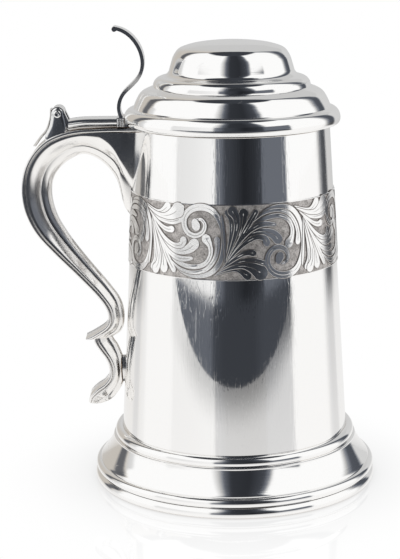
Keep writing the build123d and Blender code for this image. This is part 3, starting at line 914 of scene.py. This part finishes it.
    def build(self, finishes: Finishes) -> None:
        """Turn the ground and its border lines, and lay the leaves on it.

        Args:
            finishes: The tankard's finishes.
        """
        low, high = self.drum.radius(self.low_z), self.drum.radius(self.high_z)
        out, sink, soft = self.proud, self.proud - self.ground_sink, 0.1
        inner_low, inner_high = self.low_z + self.border, self.high_z - self.border
        outline = [
            (low, self.low_z), (low + out - soft, self.low_z), (low + out, self.low_z + soft),
            (low + out, inner_low - soft), (low + sink, inner_low), (high + sink, inner_high),
            (high + out, inner_high + soft), (high + out, self.high_z - soft),
            (high + out - soft, self.high_z), (high, self.high_z),
        ]
        ground = publish(Turning(outline).mesh(), "girdle_ground", finishes.ground, "vessel",
                         ("engraved_band",))
        ground.data.materials.append(finishes.turned)
        for face in ground.data.polygons:
            if not inner_low <= face.center.z / MM <= inner_high:
                face.material_index = 1
        leaves = bmesh.new()
        leaves.verts.layers.float.new("cut")
        for unit in range(self.repeats):
            for strand in self.strands():
                self.relief(leaves, strand, unit)
        publish(leaves, "girdle_leaves", finishes.leaves, "vessel", crease=12)


@dataclass
class ScrollHandle:
    """The hollow scroll handle: two scrolls of D section, each closed by a strap along its back.

    A station gives the point on the back, the point on the inner side and the half width.
    """

    # thickness of the strap, its greatest share of a thin scroll's depth, how far it stands out to the
    # side, how far its edges are rounded as a share of its thickness, where the middle of that rounding
    # lies as a share of it, and the strap's gap to the shell
    strap: float = 1.4
    strap_share: float = 0.6
    overhang: float = 0.25
    softening: float = 0.25
    softening_middle: float = 0.3
    seam: float = 0.02
    # height and half width of the tail that runs down the drum, and where it begins along X
    tail_bottom: Point = (116.0, 3.2)
    tail_top: Point = (146.0, 7.6)
    tail_end: float = 6.0
    tail_from: float = -66.0
    tail_run: float = 10.0
    upper: tuple[tuple[float, ...], ...] = (
        (-41, 157.2, -43.4, 117, 7.0), (-47.5, 157.2, -47.3, 122, 7.1), (-53.5, 157.2, -50.5, 134, 7.2),
        (-60, 157, -56.5, 141.8, 7.2), (-66.5, 156.7, -64, 145.4, 7.2), (-73.5, 155.3, -70.4, 143.2, 7.2),
        (-80.5, 152.2, -75.2, 139.3, 7.2), (-86.3, 146.6, -77.9, 134.8, 7.1), (-90.2, 139, -78.8, 130, 7.0),
        (-91.4, 129.5, -78.4, 124.8, 6.9), (-90, 120, -76.7, 118.8, 6.7), (-85.8, 111.2, -73.6, 112.9, 6.4),
        (-78.4, 102.4, -68.9, 105.8, 6.1), (-68.8, 92.4, -61.6, 96.3, 5.8), (-60.6, 83.4, -54.3, 87.2, 5.6),
        (-56.4, 77.2, -49.7, 80, 5.4), (-55.4, 72.4, -48.4, 72.4, 5.3), (-56.6, 69.2, -50, 66, 5.3),
        (-59.6, 66.9, -55.4, 62.8, 5.3), (-62.8, 65.0, -60.6, 62.5, 5.25), (-65.6, 63.6, -65.1, 62.8, 5.1),
    )
    lower: tuple[tuple[float, ...], ...] = (
        (-61.6, 64.6, -54.2, 66.6, 4.6), (-61.8, 61.6, -53.8, 63.2, 4.8), (-59.6, 57.8, -51.6, 59.6, 4.9),
        (-57, 54, -49.6, 54.4, 4.9), (-55.6, 49.8, -48.7, 49.4, 4.9), (-55.8, 45.8, -49.1, 44, 5.0),
        (-58, 42.6, -51.4, 38.6, 5.2), (-61.4, 40.2, -55.2, 34.2, 5.4), (-64, 37.6, -59.6, 32.4, 5.4),
        (-64.8, 35.6, -62.4, 32.5, 5.1), (-65.1, 34.4, -64.3, 33.3, 4.3),
    )
    # shares of the half width and of the shell's depth: first the part under the strap, then the side
    # from there to the middle of the inner side
    seat: tuple[Point, ...] = ((0.0, 1.0), (0.9, 1.0), (0.965, 0.99), (0.985, 0.97))
    flank: Profile = field(default_factory=lambda: [
        (0.99, 0.94), (0.99, 0.885), (0.972, 0.84), (0.93, 0.785), (0.86, 0.715), (0.78, 0.64),
        (0.69, 0.565), (0.60, 0.49), (0.53, 0.435), (0.50, 0.42), (0.515, 0.395), (0.485, 0.31),
        (0.41, 0.20), (0.30, 0.10), (0.16, 0.028), (0.0, 0.0),
    ])
    # a scroll thinner than this turns to a plain oval, over this change of depth
    plain_depth: float = 6.9
    plain_run: float = 2.2
    # where the side turns flat towards the drum, along X and from the middle out, and how flat it is there
    flat_from: float = -58.0
    flat_run: float = 15.0
    flat_share: float = 0.5
    flat_across: float = 0.5
    flat_across_run: float = 0.3

    def half_width(self, x: float, height: float, half: float) -> float:
        """Return the half width at a point, narrowed on the tail that runs down the drum."""
        low, narrow = self.tail_bottom
        top, wide = self.tail_top
        if height < low - self.tail_end:
            return half
        tail = narrow + (wide - narrow) * (height - low) / (top - low)
        return half + (min(tail, half) - half) * held((x - self.tail_from) / self.tail_run)

    def strap_side(self, half: float, depth: float, thick: float) -> Profile:
        """Return half the strap's section: distances from the middle and from the inner side."""
        wide, low, soft = half + self.overhang, depth - thick, self.softening * thick
        middle = self.softening_middle * soft
        return [
            (0.0, depth), (wide - soft, depth), (wide - middle, depth - middle), (wide, depth - soft),
            (wide, low + soft), (wide - middle, low + middle), (wide - soft, low), (0.0, low),
        ]

    def shell_side(self, half: float, low: float, flattened: float, plain: float) -> Profile:
        """Work out half the shell's section: distances from the middle and from the inner side.

        Args:
            half: The half width.
            low: The shell's depth.
            flattened: Share by which the flank is flat towards the drum.
            plain: Share by which the flank is a plain oval.

        Returns:
            The points from the middle of the back to the middle of the inner side.
        """
        side = [(half * across, low * deep) for across, deep in self.seat]
        for across, deep in self.flank:
            flat = flattened * held((across - self.flat_across) / self.flat_across_run)
            oval = math.sqrt(1 - (1 - deep) ** 2)
            side.append((half * (across + (oval - across) * plain), low * deep * (1 - flat)))
        return side

    def rows(self, stations: tuple[tuple[float, ...], ...], strap: bool) -> list[list[Vector]]:
        """Work out the rings of a scroll's shell or of its strap.

        Args:
            stations: The scroll's stations.
            strap: Whether it is the strap.

        Returns:
            Closed rings of points in metres.
        """
        rings = []
        for back_x, back_z, in_x, in_z, half in smooth_through(stations, 6):
            depth = math.dist((back_x, back_z), (in_x, in_z))
            ahead = ((back_x - in_x) / depth, (back_z - in_z) / depth)
            thick = min(self.strap, self.strap_share * depth)
            if strap:
                side = self.strap_side(half, depth, thick)
            else:
                flattened = held((back_x - self.flat_from) / self.flat_run) * self.flat_share
                plain = held((self.plain_depth - depth) / self.plain_run)
                side = self.shell_side(half, depth - thick - self.seam, flattened, plain)
            points = []
            for across, deep in both_sides(side):
                x, z = in_x + ahead[0] * deep, in_z + ahead[1] * deep
                limit = self.half_width(x, z, half) / half
                points.append(Vector((x, across * limit, z)) * MM)
            rings.append(points)
        return rings

    def build(self, finishes: Finishes) -> None:
        """Loft the shells and their straps.

        Args:
            finishes: The tankard's finishes.
        """
        for name, stations, strap in (("handle", self.upper, "handle_back_strap"),
                                      ("lower_scroll", self.lower, "lower_scroll_strap")):
            publish(loft(self.rows(stations, False)), f"{name}_hollow", finishes.wrought, "vessel",
                    (f"{name}_shell",), crease=22)
            publish(loft(self.rows(stations, True)), f"{name}_back", finishes.wrought, "vessel",
                    (strap,), crease=40)
        dress(finishes.wrought, "lower_handle_pad")


@dataclass
class Lever:
    """The moulded bar from the lid to the hinge: a quarter-round lower tier and a crowned upper one.

    A station gives a place along X, the underside, the top and the half width.
    """

    tier_radius: float = 2.1
    tier_steps: int = 8
    step_in: float = 1.5
    quirk: float = 0.25
    stations: tuple[tuple[float, ...], ...] = (
        (-49.6, 157.9, 161.4, 6.4), (-54, 157.9, 161.4, 6.4), (-58, 157.9, 161.4, 6.4),
        (-62, 157.9, 161.4, 6.4), (-65, 157.78, 161.3, 6.4), (-68, 157.45, 161.0, 6.4),
        (-70.5, 157.1, 160.6, 6.4),
    )

    def ring(self, x: float, low: float, top: float, half: float) -> list[Vector]:
        """Return the closed section at a station, in metres."""
        reach, inner, height = self.tier_radius, half - self.step_in, top - low
        side = [(0.0, 0.0)]
        for step in range(self.tier_steps + 1):
            turn = math.pi / 2 * step / self.tier_steps
            side.append((half - reach * (1 - math.sin(turn)), reach * (1 - math.cos(turn))))
        side += [(half - 0.12, reach + 0.18), (half - 0.4, reach + 0.24), (inner + 0.1, reach + self.quirk),
                 (inner + 0.12, reach + 0.5), (inner - 0.05, height - 0.35), (inner - 0.5, height - 0.12),
                 (inner - 1.4, height), (0.0, height)]
        return [Vector((x, across, low + up)) * MM for across, up in both_sides(side)]

    def build(self, finishes: Finishes) -> None:
        """Loft the bar and dress the block at its foot.

        Args:
            finishes: The tankard's finishes.
        """
        rings = [self.ring(*station) for station in smooth_through(self.stations, 3)]
        publish(loft(rings), "lever_bar", finishes.fittings, "lid", ("lid_lever",),
                crease=30)
        dress(finishes.fittings, "lever_block")


@dataclass
class Hinge:
    """The hinge on top of the handle: two domed cheeks, knuckles, pin and the scalloped drop plate."""

    pin_x: float = -75.0
    pin_z: float = 163.7
    cheek_inside: float = 5.2
    cheek_outside: float = 6.8
    dome_widths: tuple[float, ...] = (0.22, 0.4, 0.5, 0.5)
    dome_rises: tuple[float, ...] = (0.16, 0.14, 0.1, 0.05)
    head_radius: float = 1.55
    head_height: float = 0.5
    shaft_radius: float = 1.25
    # the drop plate: its half width, thickness, number of lobes, width between two lobes as a share,
    # how bluntly a lobe ends, how quickly it closes to its point, and the half width that it thins out from
    plate_half: float = 4.3
    plate_thick: float = 1.1
    plate_lobes: int = 5
    plate_waist: float = 0.74
    plate_bluntness: float = 0.6
    plate_point: Point = (1.02, 4.5)
    plate_thin_half: float = 1.2
    plate_sides: int = 24
    plate_line: Profile = field(default_factory=lambda: [
        (-78.5, 165.4), (-78.9, 161.5), (-80.6, 156.6), (-83.6, 153.0), (-86.4, 149.2),
    ])
    cheek: Profile = field(default_factory=lambda: [
        *arc_through((-77.55, 163.2), (-75.0, 166.3), (-72.45, 163.2), 16),
        *smooth_through([(-72.45, 163.2), (-71.75, 160.4), (-71.55, 157.6), (-72.2, 153.6)], 5)[1:],
        *smooth_through([(-72.2, 153.6), (-76, 151.9), (-79.5, 150.6)], 3)[1:],
        *smooth_through([(-79.5, 150.6), (-80.7, 154), (-78.6, 158.4), (-77.55, 163.2)], 5)[1:-1],
    ])

    def plate(self, side: int) -> bmesh.types.BMesh:
        """Make one cheek, with its outer face domed and its edge softened.

        Args:
            side: -1 for the near cheek and 1 for the far one.

        Returns:
            The cheek.
        """
        made = bmesh.new()
        corners = [made.verts.new((x * MM, side * self.cheek_inside * MM, z * MM)) for x, z in self.cheek]
        face = made.faces.new(corners)
        grown = bmesh.ops.extrude_face_region(made, geom=[face])["geom"]
        thick = (self.cheek_outside - self.cheek_inside - sum(self.dome_rises)) * MM
        outer = [part for part in grown if isinstance(part, bmesh.types.BMVert)]
        bmesh.ops.translate(made, verts=outer, vec=(0, side * thick, 0))
        cap = next(part for part in grown if isinstance(part, bmesh.types.BMFace))
        bmesh.ops.recalc_face_normals(made, faces=made.faces)
        for width, rise in zip(self.dome_widths, self.dome_rises):
            bmesh.ops.inset_region(made, faces=[cap], thickness=width * MM, depth=rise * MM)
        return made

    def drop_plate(self) -> bmesh.types.BMesh:
        """Make the scalloped plate: a lens in section that narrows between its lobes and ends in a point.

        Returns:
            The plate.
        """
        trail = smooth_through(self.plate_line, 12)
        turns = [2 * math.pi * step / self.plate_sides for step in range(self.plate_sides + 1)]
        end, speed = self.plate_point
        rings = []
        for index, ((x, z), (in_x, in_z)) in enumerate(zip(trail, normals(trail))):
            share = index / (len(trail) - 1)
            lobe = abs(math.sin(math.pi * self.plate_lobes * share)) ** self.plate_bluntness
            width = (self.plate_waist + (1 - self.plate_waist) * lobe) * min(1.0, (end - share) * speed)
            half = self.plate_half * width
            thick = self.plate_thick / 2 * min(1.0, half / self.plate_thin_half)
            ring = []
            for turn in turns:
                lift = thick * (1 + math.sin(turn))
                ring.append(Vector((x + in_x * lift, half * math.cos(turn), z + in_z * lift)) * MM)
            rings.append(ring)
        return loft(rings)

    def build(self, finishes: Finishes) -> None:
        """Make the cheeks, the pin and the drop plate, and dress the rest.

        Args:
            finishes: The tankard's finishes.
        """
        for side, name in ((-1, "near"), (1, "far")):
            publish(self.plate(side), f"cheek_{name}", finishes.fittings, "vessel",
                    (f"hinge_cheek_{name}",), crease=45)
        head, end = self.head_radius, self.cheek_outside + self.head_height
        shaft, foot = self.shaft_radius, self.cheek_outside
        half = [
            (shaft, 0.0), (shaft, foot), (head, foot),
            *arc_through((head, end - 0.3), (head - 0.35, end - 0.06), (head - 0.75, end), 5),
            (head - 1.0, end - 0.1), (0.0, end - 0.12),
        ]
        outline = [(radius, -along) for radius, along in half[::-1]] + half[1:]
        pin = Turning(outline, closed=False, segments=48).mesh()
        bmesh.ops.rotate(pin, verts=pin.verts, cent=(0, 0, 0), matrix=Matrix.Rotation(math.pi / 2, 3, "X"))
        bmesh.ops.translate(pin, verts=pin.verts, vec=(self.pin_x * MM, 0, self.pin_z * MM))
        publish(pin, "pin", finishes.fittings, "vessel", ("hinge_pin",), crease=40)
        publish(self.drop_plate(), "drop_plate", finishes.fittings, "vessel",
                ("hinge_drop_plate",), crease=60)
        dress(finishes.fittings, "hinge_saddle", "hinge_centre_knuckle", "lid_knuckle_near",
              "lid_knuckle_far", "thumbpiece")


@dataclass
class Stage:
    """The white table, the studio and the camera.

    Lengths are metres and angles degrees. A pair of angles or levels is where a smooth step begins and
    where it ends.
    """

    # the table, as it is mirrored in the silver and as the camera sees it, with painted shade on its glow
    # towards the front edge
    table_front: float = 0.345
    table_size: float = 1.8
    table_tone: Colour = (0.95, 0.942, 0.935)
    front_shade_fade: float = 0.15
    front_shade_level: float = 0.42
    clear_reach: Point = (0.19, 0.07)
    far_reach: Point = (0.38, 0.60)
    contact_reach: float = 0.05
    contact_depth: float = 0.35
    camera_sheen: float = 0.8
    back_level: float = 0.6
    table_roughness: float = 0.03
    table_index: float = 1.45
    # the studio: where LOW turns to HIGH, the front and what lies below it, the cap overhead, the cool
    # tint of what is dark and the warm tint of the left back
    high_steps: Point = (20, 24)
    front_left: Point = (-68, -65)
    front_right: Point = (65, 62)
    under_steps: Point = (-6.8, -7.4)
    under_change: Point = (-20, -27)
    under_middle: float = 4.0
    under_reach: Point = (28, 14)
    cap_lean: float = 1.0
    cap_radius: float = 24.5
    cap_softness: float = 2.0
    cool: Colour = (0.91, 1.0, 1.2)
    cool_levels: Point = (0.04, 0.5)
    warm: Colour = (1.0, 0.93, 0.84)
    warm_from: Point = (-112, -120)
    warm_to: Point = (-178, -140)
    warmth: float = 0.9
    # the camera
    distance: float = 0.700
    height: float = 0.2498
    side: float = -0.0147
    pitch: float = 12.96
    roll: float = 0.71
    focal_pixels: float = 1622.1
    picture_height: int = 559
    sensor: float = 36.0

    def table(self) -> None:
        """Lay the table: plain white to the camera, with a contact shade and a faint mirror at the foot, and
        a glow for the silver to mirror with painted shade towards the front edge.
        """
        made = bmesh.new()
        bmesh.ops.create_grid(made, x_segments=1, y_segments=1, size=self.table_size)
        for corner in made.verts:
            corner.co.y = max(corner.co.y, -self.table_front)
        data = bpy.data.meshes.new("table")
        made.to_mesh(data)
        made.free()
        table = bpy.data.objects.new("table", data)
        bpy.context.scene.collection.objects.link(table)
        finish, wires = new_material("white_table")
        place = wires.node("TexCoord").outputs["Object"]
        reach = wires.node("VectorMath", {"operation": "LENGTH"}, i0=place).outputs["Value"]
        near = wires.step(reach, *self.clear_reach)
        x, y, _ = wires.parts(place)
        # painted shade: what the silver mirrors of the table is darker towards its front edge
        fade = wires.step(y, -self.table_front, -self.table_front + self.front_shade_fade)
        front_shade = wires.math("MULTIPLY_ADD", fade, 1 - self.front_shade_level, self.front_shade_level)
        far = wires.round_ramp(wires.azimuth(x, y), Studio.LOW.value)
        painted_glow = wires.node("Mix", i0=wires.step(reach, *self.far_reach), i2=front_shade, i3=far).outputs[0]
        camera = wires.node("LightPath").outputs["Is Camera Ray"]
        edge = wires.node("Fresnel", IOR=self.table_index).outputs[0]
        contact = wires.node("AmbientOcclusion", {"samples": 16}, Distance=self.contact_reach).outputs["AO"]
        shade = wires.math("MULTIPLY", wires.math("SUBTRACT", 1.0, contact), self.contact_depth)
        sheen = wires.math("MULTIPLY", wires.math("MULTIPLY", edge, near), self.camera_sheen)
        plain = wires.math("SUBTRACT", wires.math("MULTIPLY_ADD", sheen, -self.back_level, 1.0), shade)
        mirrored = wires.math("MULTIPLY", painted_glow, wires.math("SUBTRACT", 1.0, edge))
        strength = wires.node("Mix", i0=camera, i2=mirrored, i3=plain).outputs[0]
        gloss = wires.node("Mix", i0=camera, i2=edge, i3=sheen).outputs[0]
        tone = wires.mix(camera, rgba(self.table_tone), WHITE)
        glow = wires.node("Emission", Color=tone, Strength=strength).outputs[0]
        mirror = wires.node("BsdfGlossy", Color=gloss, Roughness=self.table_roughness).outputs[0]
        surface = wires.node("AddShader", i0=glow, i1=mirror).outputs[0]
        wires.node("OutputMaterial", Surface=surface)
        data.materials.append(finish)

    def studio(self) -> None:
        """Surround the tankard with tall white lamps, dark gaps between them and a plain grey back."""
        world = bpy.data.worlds.new("studio")
        bpy.context.scene.world = world
        world.use_nodes = True
        wires = Shading(world.node_tree)
        sky = wires.node("TexCoord").outputs["Generated"]
        x, y, z = wires.parts(sky)
        turned = wires.azimuth(x, y)
        azimuth = wires.math("MULTIPLY", turned, 180 / math.pi)
        rise = wires.math("MULTIPLY", wires.math("ARCSINE", z), 180 / math.pi)
        low, high = wires.round_ramp(turned, Studio.LOW.value), wires.round_ramp(turned, Studio.HIGH.value)
        walls = wires.mix(wires.step(rise, *self.high_steps), low, high)
        sides = (wires.step(azimuth, *self.front_left), wires.step(azimuth, *self.front_right))
        front = wires.math("MULTIPLY", *sides)
        under_front = wires.math("MULTIPLY", front, wires.step(rise, *self.under_steps))
        under = wires.mix(wires.step(azimuth, *self.under_change), grey(Studio.UNDER_RIGHT.value),
                          grey(Studio.UNDER_LEFT.value))
        deep = grey(Studio.CAP.value)
        aside = wires.math("ABSOLUTE", wires.math("SUBTRACT", azimuth, self.under_middle))
        walls = wires.mix(under_front, walls, wires.mix(wires.step(aside, *self.under_reach), under, deep))
        lean = math.radians(self.cap_lean)
        pole = (0, math.sin(lean), math.cos(lean))
        overhead = wires.node("VectorMath", {"operation": "DOT_PRODUCT"}, i0=sky, i1=pole).outputs["Value"]
        radii = (self.cap_radius + self.cap_softness, self.cap_radius - self.cap_softness)
        span = [math.cos(math.radians(radius)) for radius in radii]
        whole = wires.mix(wires.step(overhead, *span), walls, deep)
        bright = wires.step(wires.node("RGBToBW", Color=whole).outputs[0], *self.cool_levels)
        cool = wires.mix(bright, rgba(self.cool), WHITE)
        ends = (wires.step(azimuth, *self.warm_from), wires.step(azimuth, *self.warm_to))
        warm_side = wires.math("MULTIPLY", wires.math("MULTIPLY", *ends), self.warmth)
        warm = wires.mix(warm_side, WHITE, rgba(self.warm))
        tinted = wires.node("VectorMath", {"operation": "MULTIPLY"}, i0=whole, i1=cool).outputs[0]
        tinted = wires.node("VectorMath", {"operation": "MULTIPLY"}, i0=tinted, i1=warm).outputs[0]
        camera = wires.node("LightPath").outputs["Is Camera Ray"]
        glow = wires.node("Background", Color=wires.mix(camera, tinted, WHITE), Strength=1.0)
        wires.node("OutputWorld", Surface=glow.outputs[0])

    def camera(self) -> None:
        """Set the camera where the photograph was taken from."""
        data = bpy.data.cameras.new("camera")
        data.sensor_fit = "VERTICAL"
        data.sensor_height = self.sensor
        data.lens = self.focal_pixels * self.sensor / self.picture_height
        data.clip_start = 0.05
        tilt, turn = math.radians(self.pitch), math.radians(self.roll)
        right = Vector((1, 0, 0))
        up = Vector((0, math.sin(tilt), math.cos(tilt)))
        back = Vector((0, -math.cos(tilt), math.sin(tilt)))
        wide = right * math.cos(turn) - up * math.sin(turn)
        tall = right * math.sin(turn) + up * math.cos(turn)
        axes = Matrix((wide, tall, back)).transposed().to_4x4()
        camera = bpy.data.objects.new("camera", data)
        camera.matrix_world = Matrix.Translation((self.side, -self.distance, self.height)) @ axes
        bpy.context.scene.collection.objects.link(camera)
        bpy.context.scene.camera = camera

    def build(self) -> None:
        """Set up the camera, the table and the studio."""
        self.camera()
        self.table()
        self.studio()
        bpy.context.scene.view_settings.view_transform = "Standard"


def main() -> None:
    """Build the tankard's pieces in order."""
    logging.basicConfig(level=logging.INFO, format="%(name)s: %(message)s")
    Stage().build()
    finishes = Finishes()
    drum = Drum()
    drum.build(finishes)
    Foot(drum).build(finishes)
    Lid().build(finishes)
    Girdle(drum).build(finishes)
    ScrollHandle().build(finishes)
    Lever().build(finishes)
    Hinge().build(finishes)


if __name__ == "__main__":
    main()
